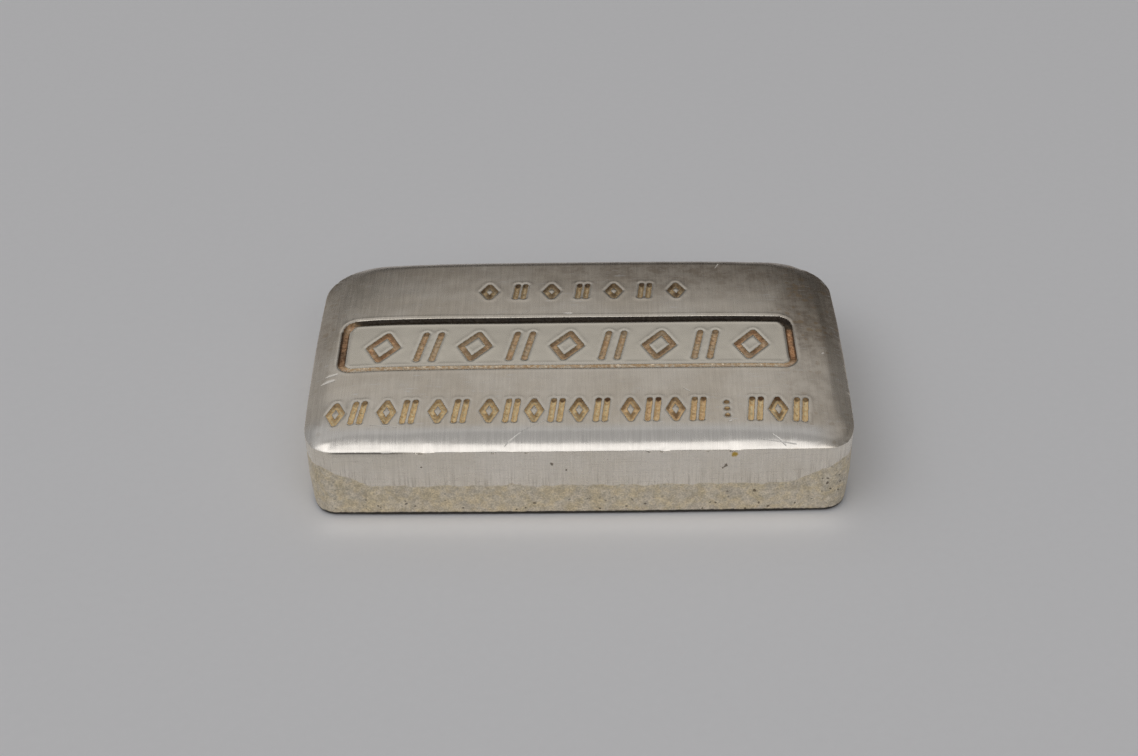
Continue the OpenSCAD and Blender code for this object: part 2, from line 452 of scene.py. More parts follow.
# Unevenness of the cast band, and a little of the pressed side: pushed in only, so that the bar
# keeps to its box
def roughenSides(bm):
    s = barShape
    bm.normal_update()
    co = coordsOf(bm.verts)
    outer = insetAndWay(co[:, 0], co[:, 1])[0] < s["sideInset"]
    side = [v for v, wanted in zip(bm.verts, outer)
            if wanted and s["edgeLift"] < v.co.z < s["rimHeight"] - 0.2 and abs(v.normal.z) < 0.75]
    co = coordsOf(side)
    cast = 1 - smooth(aboveCastBand(*co.T), -0.15, 0.2)
    rough = np.abs(noiseAt(*co.T * 0.9)) + 0.5 * np.abs(noiseAt(*co.T * 2.3))
    plain = 0.5 + 0.5 * noiseAt(*co.T * 0.2)
    push = cast * (s["castLoss"] + rough * s["castRough"]) + (1 - cast) * plain * s["sideWaves"]
    for v, depth in zip(side, push):
        v.co -= v.normal * depth


# What the finishes need to know at each point, in millimetres
def addFinishData(mesh):
    co = np.zeros(len(mesh.vertices) * 3)
    mesh.vertices.foreach_get("co", co)
    x, y, z = co.reshape(-1, 3).T / mm
    w = stampWork
    marks = stampField(x, y)
    behind = stampField(x, y + w["backReach"])["edge"]
    fainter = 1 - w["backFainter"] * smooth(x, *w["backFainterX"]) * smooth(y, *w["backFainterY"])
    fromFrameX, fromFrameY = np.abs(x - w["frameX"]), np.abs(y - w["frameY"])
    values = {
        "stampEdge": np.clip(marks["edge"], -1, 1),
        "stampBack": smooth(behind - marks["edge"], 0.0, 0.35) * smooth(behind, -0.34, 0.0) * fainter,
        "panel": smooth(fromFrameX, *w["panelX"]) * smooth(fromFrameY, *w["panelY"]),
        "rimInset": insetAndWay(x, y)[0],
        "castEdge": aboveCastBand(x, y, z),
        "shadeUnderRim": shadeUnderRim(x, y, z),
    }
    for name in ("shade", "sink", "gold", "red", "film"):
        values["stamp" + name.capitalize()] = marks[name]
    for name, data in values.items():
        mesh.attributes.new(name, "FLOAT", "POINT").data.foreach_set("value", data.astype(np.float32))


# One number from the first three points of an edge or a face, to sort by
def sortNumber(part):
    number = 0
    for index in sorted(v.index for v in part.verts)[:3]:
        number = number * 100000 + index
    return number


def makeBar():
    bm = bmesh.new()
    makeTop(bm)
    rim = [e for e in bm.edges if e.is_boundary]
    makeSides(bm, rim)
    bmesh.ops.recalc_face_normals(bm, faces=bm.faces)
    bmesh.ops.bevel(bm, geom=rim, offset=barShape["arrisBevel"], offset_type="OFFSET", affect="EDGES",
                    segments=2, profile=0.5, material=-1)
    roughenSides(bm)
    for f in bm.faces:
        f.smooth = True
        f.material_index = 0 if f.calc_center_median().z > barShape["rimHeight"] - 0.02 else 1
    bmesh.ops.scale(bm, vec=(mm, mm, mm), verts=bm.verts)
    # the extrusion makes its edges and faces in another order each run
    bm.verts.index_update()
    for parts in (bm.edges, bm.faces):
        parts.sort(key=sortNumber)
    mesh = bpy.data.meshes.new("silverBar")
    bm.to_mesh(mesh)
    bm.free()
    addFinishData(mesh)
    bar = bpy.data.objects.new("silverBar", mesh)
    bpy.context.collection.objects.link(bar)
    print("bar:", len(mesh.vertices), "points,", sum(len(p.vertices) - 2 for p in mesh.polygons), "triangles")
    return bar


# Gives an input a number, a colour or the link to another node
def feed(tree, value, socket):
    if isinstance(value, bpy.types.NodeSocket):
        tree.links.new(value, socket)
    elif socket.type == "RGBA":
        socket.default_value = (*value, 1.0)
    else:
        socket.default_value = value


def newNode(tree, kind, inputs=None, **settings):
    node = tree.nodes.new(kind)
    for name, value in settings.items():
        setattr(node, name, value)
    for name, value in (inputs or {}).items():
        feed(tree, value, node.inputs[name])
    return node


def calc(tree, operation, *values, clamp=False):
    node = newNode(tree, "ShaderNodeMath", dict(enumerate(values)), operation=operation, use_clamp=clamp)
    return node.outputs[0]


def plus(tree, a, b):
    return calc(tree, "ADD", a, b)


def minus(tree, a, b):
    return calc(tree, "SUBTRACT", a, b)


def times(tree, a, b):
    return calc(tree, "MULTIPLY", a, b)


def larger(tree, a, b):
    return calc(tree, "MAXIMUM", a, b)


def vectorCalc(tree, operation, *values):
    node = newNode(tree, "ShaderNodeVectorMath", dict(enumerate(values)), operation=operation)
    return node.outputs["Value" if operation in ("DOT_PRODUCT", "DISTANCE") else "Vector"]


def ramp(tree, value, fromLow, fromHigh, toLow=0.0, toHigh=1.0, easing="SMOOTHSTEP"):
    inputs = {"Value": value, "From Min": fromLow, "From Max": fromHigh, "To Min": toLow, "To Max": toHigh}
    return newNode(tree, "ShaderNodeMapRange", inputs, interpolation_type=easing).outputs["Result"]


# Mixes two colours; the colour sockets of a Mix node are its inputs 6 and 7 and its output 2
def mixed(tree, share, a, b, blend="MIX"):
    node = newNode(tree, "ShaderNodeMix", {0: share, 6: a, 7: b}, data_type="RGBA", blend_type=blend)
    return node.outputs[2]


# Lays a tone over a colour where a mask says so, as strongly as given
def layer(tree, color, mask, tone, strength):
    return mixed(tree, times(tree, mask, strength), color, tone)


def shaded(tree, color, light):
    return mixed(tree, 1.0, color, light, blend="MULTIPLY")


def noiseNode(tree, where, scale, detail, roughness=0.5, distortion=0.0):
    inputs = {"Vector": where, "Scale": scale, "Detail": detail, "Roughness": roughness,
              "Distortion": distortion}
    return newNode(tree, "ShaderNodeTexNoise", inputs)


def cloudy(tree, *settings, **more):
    return noiseNode(tree, *settings, **more).outputs[0]


# Coordinates bent by noise, by a quarter of a millimetre or so, for spots with uneven outlines
def bentCoords(tree, where, scale):
    bend = noiseNode(tree, where, scale, 2.0).outputs["Color"]
    return vectorCalc(tree, "MULTIPLY_ADD", bend, (0.5, 0.5, 0.5), where)


def attribute(tree, name):
    return newNode(tree, "ShaderNodeAttribute", attribute_name=name).outputs["Fac"]


def placeGroup(tree, group, **values):
    return newNode(tree, "ShaderNodeGroup", values, node_tree=group).outputs


# Sets the nodes of a tree out in columns, each one to the left of all that it feeds
def arrange(tree):
    column = {node.name: 0 for node in tree.nodes}
    moved = True
    while moved:
        moved = False
        for link in tree.links:
            wanted = column[link.to_node.name] + 1
            if column[link.from_node.name] < wanted:
                column[link.from_node.name] = wanted
                moved = True
    filled = {}
    for node in tree.nodes:
        place = column[node.name]
        node.location = (-240 * place, -320 * filled.get(place, 0))
        filled[place] = filled.get(place, 0) + 1


# Starts a node group. The default of an input says whether it is a number, a vector or a colour,
# and among the outputs only Color is a colour
def newGroup(name, inputs, outputs):
    kinds = {3: "NodeSocketVector", 4: "NodeSocketColor"}
    tree = bpy.data.node_groups.new(name, "ShaderNodeTree")
    for label, value in inputs.items():
        kind = kinds[len(value)] if isinstance(value, tuple) else "NodeSocketFloat"
        tree.interface.new_socket(name=label, in_out="INPUT", socket_type=kind).default_value = value
    for label in outputs:
        kind = "NodeSocketColor" if label == "Color" else "NodeSocketFloat"
        tree.interface.new_socket(name=label, in_out="OUTPUT", socket_type=kind)
    return tree, newNode(tree, "NodeGroupInput").outputs, newNode(tree, "NodeGroupOutput").inputs


def closeGroup(tree, wanted, **results):
    for name, value in results.items():
        feed(tree, value, wanted[name])
    arrange(tree)
    return tree


# Long fine lines: noise pulled out along one way
def makeBrushing():
    tree, given, wanted = newGroup("fineBrushing", {"Vector": (0, 0, 0), "Stretch": (6, 0.2, 6)}, ["Lines"])
    pulled = vectorCalc(tree, "MULTIPLY", given["Vector"], given["Stretch"])
    grain = cloudy(tree, pulled, 1.0, 3.0, 0.7)
    return closeGroup(tree, wanted, Lines=ramp(tree, grain, 0.25, 0.75, easing="LINEAR"))


# Slow cloudy changes of tone, and finer ones
def makeToning():
    tree, given, wanted = newGroup("toning", {"Vector": (0, 0, 0), "Scale": 0.15}, ["Clouds", "Mottle"])
    clouds = cloudy(tree, given["Vector"], given["Scale"], 4.0, 0.6, distortion=0.3)
    mottle = cloudy(tree, given["Vector"], times(tree, given["Scale"], 6.0), 5.0, 0.65)
    return closeGroup(tree, wanted, Clouds=ramp(tree, clouds, 0.3, 0.7), Mottle=ramp(tree, mottle, 0.3, 0.7))


# Scattered small pits and dark specks: each cell of the pattern may have one, of its own size
def makePits():
    tree, given, wanted = newGroup("pits", {"Vector": (0, 0, 0), "Scale": 0.6, "Size": 0.16, "Share": 0.3},
                                   ["Mask"])
    bent = bentCoords(tree, given["Vector"], 1.6)
    cells = newNode(tree, "ShaderNodeTexVoronoi", {"Vector": bent, "Scale": given["Scale"]}, feature="F1")
    luck = newNode(tree, "ShaderNodeSeparateColor", {0: cells.outputs["Color"]}).outputs
    chosen = calc(tree, "LESS_THAN", luck[0], given["Share"])
    size = times(tree, given["Size"], luck[1])
    inside = ramp(tree, minus(tree, size, cells.outputs["Distance"]), -0.02, 0.03)
    return closeGroup(tree, wanted, Mask=times(tree, inside, chosen))


# One straight scratch between two points of the plan, thinner where it starts
def makeScratch():
    tree, given, wanted = newGroup("scratch", {"Vector": (0, 0, 0), "Start": (0, 0, 0), "End": (1, 0, 0),
                                               "Width": 0.06}, ["Mask"])
    away = vectorCalc(tree, "SUBTRACT", given["Vector"], given["Start"])
    line = vectorCalc(tree, "SUBTRACT", given["End"], given["Start"])
    along = vectorCalc(tree, "DOT_PRODUCT", away, line)
    whole = vectorCalc(tree, "DOT_PRODUCT", line, line)
    share = calc(tree, "DIVIDE", along, whole, clamp=True)
    gap = vectorCalc(tree, "DISTANCE", away, vectorCalc(tree, "MULTIPLY", line, share))
    width = times(tree, given["Width"], ramp(tree, share, 0.0, 0.5, toLow=0.4))
    return closeGroup(tree, wanted, Mask=minus(tree, 1.0, calc(tree, "DIVIDE", gap, width, clamp=True)))


# Tones of the film inside the punch marks, in pairs
patinaTones = {
    "deepGold": ((0.56, 0.38, 0.23), (0.95, 0.62, 0.27)),       # of a mark with no shade, and full shade
    "paleGold": ((1.0, 0.90, 0.76), (1.0, 0.85, 0.53)),
    "brown": ((0.045, 0.034, 0.024), (0.13, 0.095, 0.06)),      # of its darker and lighter specks
    "red": ((0.48, 0.20, 0.085), (1.0, 0.58, 0.31)),
    "wall": ((0.05, 0.033, 0.02), (1.0, 0.69, 0.34)),           # of a brown mark, and of a golden one
    "backWall": ((0.028, 0.02, 0.014), (0.13, 0.058, 0.02)),
}


# The film inside the punch marks: golden, brown or copper red on the floor, dark on the back walls
def makePatina():
    tree, given, wanted = newGroup(
        "punchPatina",
        {"Vector": (0, 0, 0), "Plain": (0.8, 0.7, 0.6, 1), "Edge": 1.0, "Back": 0.0, "Gold": 0.5, "Red": 0.0,
         "Film": 1.0, "Shade": 1.0, "Sink": 1.0},
        ["Color", "Mask", "Dirt", "Lip", "Matte", "Height"])

    def tone(name, share):
        return mixed(tree, share, *patinaTones[name])

    fine = cloudy(tree, given["Vector"], 2.6, 4.0, 0.75)
    speckle = ramp(tree, fine, 0.34, 0.60)
    drift = ramp(tree, cloudy(tree, given["Vector"], 0.5, 3.0), 0.35, 0.65)
    fleck = ramp(tree, cloudy(tree, given["Vector"], 2.3, 2.0), 0.42, 0.58)
    lumps = cloudy(tree, given["Vector"], 1.9, 2.0)
    ragged = times(tree, minus(tree, fine, 0.5), 0.22)
    mask = ramp(tree, plus(tree, given["Sink"], ragged), 0.06, 0.26)

    # the floor is brown or golden, red in places, and bare where the film is thin
    goldShare = mixed(tree, given["Shade"], fleck, speckle)
    gold = mixed(tree, goldShare, tone("deepGold", given["Shade"]), tone("paleGold", given["Shade"]))
    floor = mixed(tree, given["Gold"], tone("brown", speckle), gold)
    reddened = times(tree, given["Red"], ramp(tree, drift, 0.0, 1.0, toLow=0.5))
    floor = mixed(tree, reddened, floor, tone("red", speckle))
    filmed = calc(tree, "ADD", given["Film"], times(tree, drift, 0.35), clamp=True)
    floor = mixed(tree, filmed, given["Plain"], floor)

    # the walls are in shade, and those at the back of a mark are darkest
    goldWall = calc(tree, "POWER", given["Gold"], 2.0)
    onWall = minus(tree, 1.0, ramp(tree, plus(tree, given["Edge"], ragged), -0.10, -0.30))
    wallShare = times(tree, onWall, calc(tree, "MULTIPLY_ADD", given["Shade"], 0.65, 0.2))
    walled = mixed(tree, wallShare, floor, tone("wall", goldWall))
    patchy = ramp(tree, drift, 0.0, 1.0, toLow=0.72)
    backShare = times(tree, times(tree, given["Back"], given["Shade"]), patchy)

    # the film is nearly matt, and its floor was left lumpy by the punch
    glints = ramp(tree, fleck, 0.55, 1.0, toLow=0.9, toHigh=0.3)
    return closeGroup(
        tree, wanted,
        Color=mixed(tree, backShare, walled, tone("backWall", goldWall)),
        Mask=mask,
        Dirt=times(tree, mask, larger(tree, backShare, wallShare)),
        # the painted glint, just outside the edge of a mark
        Lip=ramp(tree, given["Edge"], 0.50, 0.06),
        Matte=times(tree, times(tree, mask, filmed), glints),
        Height=times(tree, mask, lumps))


# Darker and lighter grains of the cast skin
castTones = {
    "grey": ((0.60, 0.535, 0.43), (0.89, 0.81, 0.68)),
    "gold": ((0.62, 0.525, 0.365), (0.91, 0.80, 0.585)),
}


# Rough as-cast metal: golden beige and grey grains
def makeCastSkin():
    tree, given, wanted = newGroup("castSkin", {"Vector": (0, 0, 0)}, ["Color", "Height", "Dull"])
    grain = cloudy(tree, given["Vector"], 4.6, 3.0, 0.7)
    patch = cloudy(tree, given["Vector"], 0.7, 4.0, 0.6, distortion=0.4)
    mottle = cloudy(tree, given["Vector"], 1.3, 3.0, 0.55)
    hollows = newNode(tree, "ShaderNodeTexVoronoi", {"Vector": given["Vector"], "Scale": 2.4},
                      feature="SMOOTH_F1").outputs["Distance"]
    speck = ramp(tree, grain, 0.30, 0.70)
    color = mixed(tree, ramp(tree, patch, 0.36, 0.66), mixed(tree, speck, *castTones["grey"]),
                  mixed(tree, speck, *castTones["gold"]))
    return closeGroup(tree, wanted,
                      Color=shaded(tree, color, ramp(tree, mottle, 0.32, 0.68, toLow=0.87, toHigh=1.08)),
                      Height=plus(tree, grain, times(tree, hollows, 0.8)),
                      Dull=ramp(tree, speck, 0.0, 1.0, toLow=0.55, toHigh=0.42))


brushing, toning, pits = makeBrushing(), makeToning(), makePits()
scratch, patina, castSkin = makeScratch(), makePatina(), makeCastSkin()


# A new material, its node tree, what its surface takes in, and the place in millimetres
def newMaterial(name):
    material = bpy.data.materials.new(name)
    material.use_nodes = True
    tree = material.node_tree
    coords = newNode(tree, "ShaderNodeTexCoord").outputs["Object"]
    inMillimetres = {"Vector": coords, "Scale": (1 / mm, 1 / mm, 1 / mm)}
    where = newNode(tree, "ShaderNodeMapping", inMillimetres).outputs["Vector"]
    axes = newNode(tree, "ShaderNodeSeparateXYZ", {0: where}).outputs
    return material, tree, tree.nodes["Principled BSDF"].inputs, where, axes


def addRelief(tree, surface, relief, height):
    bump = newNode(tree, "ShaderNodeBump", {"Height": relief, "Strength": 1.0, "Distance": height})
    feed(tree, bump.outputs[0], surface["Normal"])


# Colours and finish of the top. Places are in millimetres on the plan, and a pair of them is where
# something starts and where it is there in full
topFinish = {
    "bright": (0.93, 0.845, 0.735),
    "toned": (0.82, 0.725, 0.605),
    # what lies over the metal: its tone, and how strongly it covers
    "tarnish": ((0.42, 0.345, 0.27), 0.8),
    "worn": ((0.90, 0.865, 0.825), 0.85),   # rubbed clean along the front roll
    "speck": ((0.46, 0.34, 0.22), 0.5),
    "scuff": ((0.98, 0.955, 0.92), 0.5),
    "panel": ((0.96, 0.885, 0.755), 0.8),   # inside the frame
    # the scratches painted pale and matt: partly their own colour, partly a painted glint
    "scratch": ((1.0, 0.97, 0.92), 0.8),
    # painted glint: a paler ring on the lip just outside each mark
    "lip": ((1.0, 0.95, 0.86), 0.3),
    "roughness": 0.2,
    "relief": 0.003,                        # height of the finest relief
    "toneScale": 0.11,
    # how closely each set of brush lines is packed along x, y and z
    "lengthwise": (0.35, 7.0, 1.0), "crosswise": (5.0, 0.16, 0.3), "scuffLines": (0.5, 3.2, 1.0),
    "specks": {"Scale": 1.1, "Size": 0.55, "Share": 0.5},
    "backTarnish": (8.0, 19.0), "backTarnishNearer": (-4.0, 14.0), "backTarnishFuller": (-10.0, 4.0),
    "rightTarnish": (22.5, 28.0), "leftTarnish": (-28.5, -32.0), "endTarnish": (-6.0, 3.0),
    "wornInset": (4.2, 2.2), "wornY": (-14.0, -17.5), "wornEnd": (31.5, 27.0),
    # scratches and dings, partly a painted glint: start, end, width
    "scratches": (
        ((-31.3, -7.9), (-29.9, -7.4), 0.34), ((-30.9, -6.6), (-29.6, -6.2), 0.26),
        ((-8.7, -20.2), (-6.9, -18.6), 0.10), ((-6.9, -18.6), (-3.9, -16.3), 0.07),
        ((-24.8, -16.9), (-21.5, -17.3), 0.07), ((-1.9, 6.2), (-0.9, 6.15), 0.22),
        ((22.6, -19.0), (24.2, -20.2), 0.10), ((21.0, -19.6), (25.4, -20.1), 0.06),
        ((12.6, -10.3), (13.3, -10.9), 0.10), ((17.7, -16.9), (18.0, -16.7), 0.2),
        ((30.0, -2.8), (30.2, -2.6), 0.16), ((17.9, 17.0), (18.4, 18.2), 0.09),
        ((-11.0, 3.9), (-6.0, 6.9), 0.04),
    ),
}


# The tarnish gathers along the back edge, more so at the right, and round the back half of both ends
def tarnishMasks(tree, axes, mottle):
    f = topFinish
    further = plus(tree, axes[1], ramp(tree, axes[0], *f["backTarnishNearer"], toHigh=2.6))
    atBack = times(tree, ramp(tree, further, *f["backTarnish"]),
                   ramp(tree, axes[0], *f["backTarnishFuller"], toLow=0.72, toHigh=1.22))
    atRight = ramp(tree, axes[0], *f["rightTarnish"], toHigh=1.4)
    atLeft = ramp(tree, axes[0], *f["leftTarnish"], toHigh=0.85)
    atEnds = times(tree, larger(tree, atRight, atLeft), ramp(tree, axes[1], *f["endTarnish"], toLow=0.36))
    patchy = ramp(tree, mottle, 0.0, 1.0, toLow=0.55)
    return times(tree, larger(tree, atBack, atEnds), patchy), atEnds


def wornMask(tree, axes):
    f = topFinish
    along = times(tree, ramp(tree, axes[1], *f["wornY"]), ramp(tree, axes[0], *f["wornEnd"]))
    return times(tree, ramp(tree, attribute(tree, "rimInset"), *f["wornInset"]), along)


def scratchMask(tree, where):
    flat = vectorCalc(tree, "MULTIPLY", where, (1, 1, 0))
    mask = 0.0
    for start, end, width in topFinish["scratches"]:
        one = placeGroup(tree, scratch, Vector=flat, Start=(*start, 0), End=(*end, 0), Width=width)
        mask = larger(tree, mask, one["Mask"])
    return mask


def makeSatinTop():
    f = topFinish
    material, tree, surface, where, axes = newMaterial("satinTop")
    tone = placeGroup(tree, toning, Vector=where, Scale=f["toneScale"])
    lengthwise = placeGroup(tree, brushing, Vector=where, Stretch=f["lengthwise"])["Lines"]
    crosswise = placeGroup(tree, brushing, Vector=where, Stretch=f["crosswise"])["Lines"]
    scuffs = placeGroup(tree, brushing, Vector=where, Stretch=f["scuffLines"])["Lines"]
    specks = placeGroup(tree, pits, Vector=where, **f["specks"])["Mask"]
    tarnish, endTarnish = tarnishMasks(tree, axes, tone["Mottle"])
    scratchesAndGlints = scratchMask(tree, where)

    color = mixed(tree, tone["Clouds"], f["bright"], f["toned"])
    color = layer(tree, color, tarnish, *f["tarnish"])
    color = layer(tree, color, wornMask(tree, axes), *f["worn"])
    color = shaded(tree, color, ramp(tree, crosswise, 0.2, 0.9, toLow=0.90, toHigh=1.06, easing="LINEAR"))
    # brown specks where the tarnish is thickest, and pale scuffs here and there
    color = layer(tree, color, times(tree, specks, endTarnish), *f["speck"])
    scuffed = times(tree, ramp(tree, scuffs, 0.62, 0.85), ramp(tree, tone["Mottle"], 0.3, 0.9))
    color = layer(tree, color, scuffed, *f["scuff"])
    color = layer(tree, color, attribute(tree, "panel"), *f["panel"])
    # the scratches, pale with a painted glint
    color = layer(tree, color, scratchesAndGlints, *f["scratch"])

    stamps = {name: attribute(tree, "stamp" + name)
              for name in ("Edge", "Back", "Gold", "Red", "Film", "Shade", "Sink")}
    film = placeGroup(tree, patina, Vector=where, Plain=color, **stamps)
    # painted glint on the lip round each mark
    color = layer(tree, color, film["Lip"], *f["lip"])
    color = mixed(tree, film["Mask"], color, film["Color"])
    feed(tree, color, surface["Base Color"])

    rough = plus(tree, times(tree, crosswise, 0.06), times(tree, tone["Mottle"], 0.07))
    rough = plus(tree, rough, times(tree, film["Mask"], 0.12))
    feed(tree, plus(tree, rough, f["roughness"]), surface["Roughness"])
    matt = larger(tree, times(tree, film["Dirt"], 0.8), film["Matte"])
    # the scratches are matt, which lets their painted glint show
    matt = larger(tree, matt, calc(tree, "MULTIPLY", scratchesAndGlints, 1.6, clamp=True))
    feed(tree, minus(tree, 1.0, matt), surface["Metallic"])
    feed(tree, 0.25, surface["Specular IOR Level"])

    relief = plus(tree, times(tree, lengthwise, 0.35), times(tree, crosswise, 0.65))
    relief = minus(tree, relief, times(tree, scratchesAndGlints, 12.0))
    relief = plus(tree, relief, times(tree, film["Height"], 90.0))
    addRelief(tree, surface, relief, f["relief"] * mm)
    arrange(tree)
    return material


# Colours and finish of the sides. A pair of heights or places is where something starts and where it
# is there in full
sideFinish = {
    "bright": (0.97, 0.905, 0.81),
    "toned": (0.89, 0.82, 0.71),
    # what lies over the metal: its tone, and how strongly it covers
    "drag": ((0.50, 0.44, 0.36), 1.0),
    "pitted": ((0.13, 0.095, 0.06), 0.8),
    "yellow": ((0.62, 0.42, 0.10), 1.0),
    # near-black painted shade, for the bottom edge and under the rolled-over rim
    "paintedShade": ((0.02, 0.015, 0.01), 1.0),
    "roughness": 0.22,
    "castMatt": 0.2,
    "relief": 0.005,
    "toneScale": 0.16,
    # how closely each set of brush lines is packed along x, y and z
    "upright": (5.0, 5.0, 0.22), "level": (0.25, 0.25, 6.0),
    "pinholes": {"Scale": 1.9, "Size": 0.34, "Share": 0.3},
    "lowHoles": (3.4, 1.6), "rightHoles": (26.5, 29.0),
    # painted shade of the dark gap along the bottom edge: heights, inset from the rim, and how it fades
    # towards the back
    "footShade": (0.84, 0.70), "footShadeInset": (1.9, 1.2), "footShadeY": (-10.0, -18.0),
    # dark pits and one yellow spot: place, radius in millimetres
    "pits": (
        ((17.2, -20.5, 7.5), 0.34), ((16.9, -20.5, 7.15), 0.2), ((-18.6, -20.5, 7.6), 0.16),
        ((-3.2, -20.5, 8.0), 0.26), ((-1.6, -20.5, 7.1), 0.2), ((20.7, -20.4, 3.6), 0.24),
        ((1.2, -20.3, 2.6), 0.2), ((17.5, -20.3, 3.5), 0.2), ((29.0, -19.9, 2.4), 0.34),
        ((30.2, -19.4, 2.6), 0.24), ((27.6, -20.0, 3.6), 0.2), ((-24.0, -20.2, 1.6), 0.18),
    ),
    "spot": ((18.2, -20.6, 9.1), 0.46),
}


# A round spot with an uneven outline, in coordinates that the noise has moved by a quarter
def spotMask(tree, bent, centre, radius):
    gap = vectorCalc(tree, "DISTANCE", bent, tuple(c + 0.25 for c in centre))
    return ramp(tree, gap, radius, radius * 0.5)


# Pinholes in the cast band, most of them low down and round the right corner, and the larger pits
def pitMask(tree, where, bent, axes, cast):
    f = sideFinish
    pinholes = placeGroup(tree, pits, Vector=where, **f["pinholes"])["Mask"]
    lowDown = ramp(tree, axes[2], *f["lowHoles"], toLow=0.25)
    holed = larger(tree, lowDown, ramp(tree, axes[0], *f["rightHoles"]))
    mask = times(tree, times(tree, pinholes, cast), holed)
    for centre, radius in f["pits"]:
        mask = larger(tree, mask, spotMask(tree, bent, centre, radius))
    return mask


# Painted shade: a dark line along the bottom edge, where the gap under the bar lies in shadow, and a dark
# band under the rim where it is rolled over
def paintedShadeMask(tree, axes, ragged):
    f = sideFinish
    height = calc(tree, "MULTIPLY_ADD", ragged, 0.25, axes[2])
    foot = times(tree, ramp(tree, height, *f["footShade"]),
                 ramp(tree, attribute(tree, "rimInset"), *f["footShadeInset"]))
    foot = times(tree, foot, ramp(tree, axes[1], *f["footShadeY"], toLow=0.7))
    return larger(tree, foot, attribute(tree, "shadeUnderRim"))


def makePressedSide():
    f = sideFinish
    material, tree, surface, where, axes = newMaterial("pressedSide")
    tone = placeGroup(tree, toning, Vector=where, Scale=f["toneScale"])
    upright = placeGroup(tree, brushing, Vector=where, Stretch=f["upright"])["Lines"]
    level = placeGroup(tree, brushing, Vector=where, Stretch=f["level"])["Lines"]
    skin = placeGroup(tree, castSkin, Vector=where)
    ragged = cloudy(tree, where, 1.8, 3.0)
    bent = bentCoords(tree, where, 2.5)
    edge = plus(tree, attribute(tree, "castEdge"), times(tree, ragged, 0.35))
    cast = ramp(tree, edge, 0.32, 0.06)
    pitted = pitMask(tree, where, bent, axes, cast)
    paintedShade = paintedShadeMask(tree, axes, ragged)

    color = mixed(tree, tone["Clouds"], f["bright"], f["toned"])
    # short dark drag lines rise from the cast band, and fine lines cross the whole side both ways
    drag = times(tree, ramp(tree, upright, 0.58, 0.78), ramp(tree, edge, 2.6, 0.2, toHigh=0.42))
    color = layer(tree, color, drag, *f["drag"])
    color = shaded(tree, color, ramp(tree, upright, 0.1, 0.7, toLow=1.05, toHigh=0.93, easing="LINEAR"))
    color = shaded(tree, color, ramp(tree, level, 0.55, 0.85, toLow=1.01, toHigh=0.90))
    color = mixed(tree, cast, color, skin["Color"])
    color = layer(tree, color, pitted, *f["pitted"])
    color = layer(tree, color, spotMask(tree, bent, *f["spot"]), *f["yellow"])
    # painted shade along the foot and under the rolled-over rim
    color = layer(tree, color, paintedShade, *f["paintedShade"])
    feed(tree, color, surface["Base Color"])

    # the cast skin is duller and half matt, and the painted shade is no metal at all
    pressed = calc(tree, "MULTIPLY_ADD", tone["Mottle"], 0.08, f["roughness"])
    rough = calc(tree, "MULTIPLY_ADD", minus(tree, skin["Dull"], pressed), cast, pressed)
    feed(tree, rough, surface["Roughness"])
    matt = larger(tree, times(tree, cast, f["castMatt"]), paintedShade)
    feed(tree, minus(tree, 1.0, matt), surface["Metallic"])

    relief = plus(tree, times(tree, upright, 0.5), times(tree, level, 0.25))
    relief = plus(tree, relief, times(tree, times(tree, skin["Height"], cast), 3.6))
    relief = minus(tree, relief, times(tree, pitted, 5.0))
    addRelief(tree, surface, relief, f["relief"] * mm)
    arrange(tree)
    return material


studio = {
    "tableSize": 1.5,                       # metres from its middle to its edge
    "table": (0.80, 0.80, 0.82),
    "lampColor": (1.0, 0.985, 0.965),
    # softboxes: angle up from the far horizon, place across, distance, size, brightness
    "softboxes": (
        ("frontSoftbox", 136.5, 0.0, 2.2, (3.4, 1.75), 0.67),
        ("leftSoftbox", 104.0, -1.2, 1.9, (1.1, 1.3), 0.8),
    ),
    "bounceSize": (62, 1.6),                # millimetres
    "bounceGap": 1.6, "bounceHeight": 2.3,
    "bounceBright": 0.3,
    "roomLow": 0.09, "roomBand": 0.47, "roomHigh": 0.36,
    "roomLeft": 0.30, "roomRight": 0.31,
    "backdrop": (0.385, 0.385, 0.395),
}


def makeTable():
    bm = bmesh.new()
    bmesh.ops.create_grid(bm, x_segments=8, y_segments=8, size=studio["tableSize"])
    mesh = bpy.data.meshes.new("table")
    bm.to_mesh(mesh)
    bm.free()
    table = bpy.data.objects.new("table", mesh)
    bpy.context.collection.objects.link(table)
    material = bpy.data.materials.new("palePaper")
    material.use_nodes = True
    tree = material.node_tree
    surface = tree.nodes["Principled BSDF"].inputs
    coords = newNode(tree, "ShaderNodeTexCoord").outputs["Object"]
    darker, lighter = (tuple(c * share for c in studio["table"]) for share in (0.985, 1.015))
    feed(tree, mixed(tree, cloudy(tree, coords, 900.0, 3.0), darker, lighter), surface["Base Color"])
    feed(tree, 0.9, surface["Roughness"])
    feed(tree, 0.1, surface["Specular IOR Level"])
    arrange(tree)
    mesh.materials.append(material)


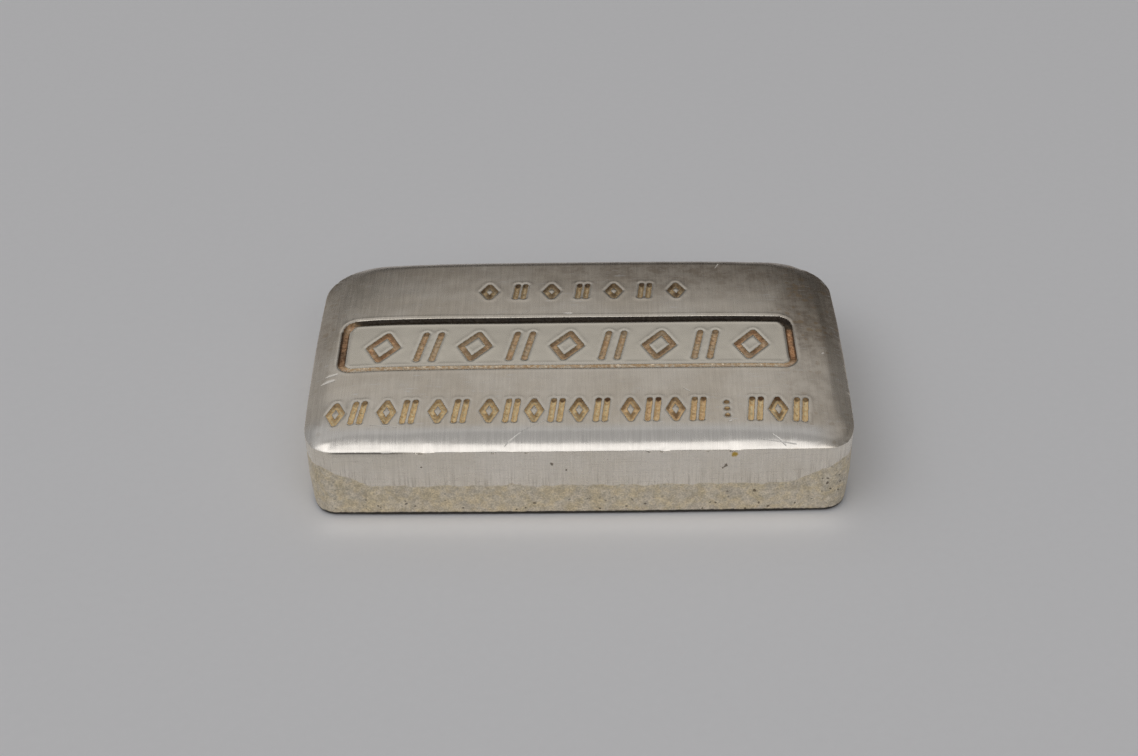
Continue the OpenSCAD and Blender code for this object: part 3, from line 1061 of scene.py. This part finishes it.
# The room is dark near the horizon, but for a glow low down at both sides. It is brightest a little
# below half way up, and darker to the right
def makeRoom():
    s = studio
    world = bpy.data.worlds.new("softRoom")
    bpy.context.scene.world = world
    world.use_nodes = True
    tree = world.node_tree
    coords = newNode(tree, "ShaderNodeTexCoord").outputs["Generated"]
    way = newNode(tree, "ShaderNodeSeparateXYZ", {0: coords}).outputs
    toSides = larger(tree, ramp(tree, way[0], -0.05, -0.5, toHigh=s["roomLeft"]),
                     ramp(tree, way[0], 0.25, 0.55, toHigh=s["roomRight"]))
    upward = ramp(tree, way[2], 0.34, 0.62, toLow=s["roomLow"], toHigh=s["roomBand"])
    overhead = ramp(tree, way[2], 0.70, 0.90, toHigh=s["roomBand"] - s["roomHigh"])
    sideways = ramp(tree, way[0], 0.10, 0.75, toLow=1.0, toHigh=0.45)
    glow = times(tree, minus(tree, larger(tree, upward, toSides), overhead), sideways)
    seen = newNode(tree, "ShaderNodeLightPath").outputs["Is Camera Ray"]
    feed(tree, mixed(tree, seen, glow, s["backdrop"]), tree.nodes["Background"].inputs["Color"])
    arrange(tree)


def newLamp(name, size, bright):
    lamp = bpy.data.lights.new(name, "AREA")
    lamp.shape = "RECTANGLE"
    lamp.size, lamp.size_y = size
    lamp.energy = bright * math.pi * size[0] * size[1]
    lamp.color = studio["lampColor"]
    light = bpy.data.objects.new(name, lamp)
    bpy.context.collection.objects.link(light)
    return light


def makeSoftboxes():
    for name, angle, across, distance, size, bright in studio["softboxes"]:
        light = newLamp(name, size, bright)
        turn = math.radians(angle)
        place = Vector((across, math.cos(turn) * distance, math.sin(turn) * distance))
        aim = (-place).to_track_quat("-Z", "Y").to_matrix().to_4x4()
        light.matrix_world = Matrix.Translation(place) @ aim


# A faint strip close to the front foot: the light that the bright side throws on the table
def makeBounce():
    s = studio
    light = newLamp("frontBounce", tuple(side * mm for side in s["bounceSize"]), s["bounceBright"])
    light.location = (0, low.y - s["bounceGap"] * mm, s["bounceHeight"] * mm)
    light.visible_camera = False
    light.visible_glossy = False


view = {
    "place": (0.70, -218.74, 159.04),       # millimetres
    "yaw": -0.506, "elevation": 35.0, "roll": -0.858,
    "lens": 67.08,
}


def makeCamera():
    yaw, elevation, roll = (math.radians(view[k]) for k in ("yaw", "elevation", "roll"))
    flat = Vector((math.sin(yaw), math.cos(yaw), 0))
    ahead = flat * math.cos(elevation) - Vector((0, 0, math.sin(elevation)))
    level = Vector((math.cos(yaw), -math.sin(yaw), 0))
    upright = level.cross(ahead)
    right = math.cos(roll) * level + math.sin(roll) * upright
    up = -math.sin(roll) * level + math.cos(roll) * upright
    data = bpy.data.cameras.new("camera")
    data.lens = view["lens"]
    data.sensor_width = 36.0
    data.sensor_fit = "HORIZONTAL"
    data.clip_start, data.clip_end = 0.01, 20.0
    camera = bpy.data.objects.new("camera", data)
    bpy.context.collection.objects.link(camera)
    turn = Matrix((right, up, -ahead)).transposed().to_4x4()
    camera.matrix_world = Matrix.Translation(Vector(view["place"]) * mm) @ turn
    bpy.context.scene.camera = camera


bar = makeBar()
bar.data.materials.append(makeSatinTop())
bar.data.materials.append(makePressedSide())
print("finishes done")
makeTable()
makeRoom()
makeSoftboxes()
makeBounce()
makeCamera()
bpy.context.scene.view_settings.view_transform = "Standard"
print("table, lights and camera done")

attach(bar, "root")
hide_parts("bar")
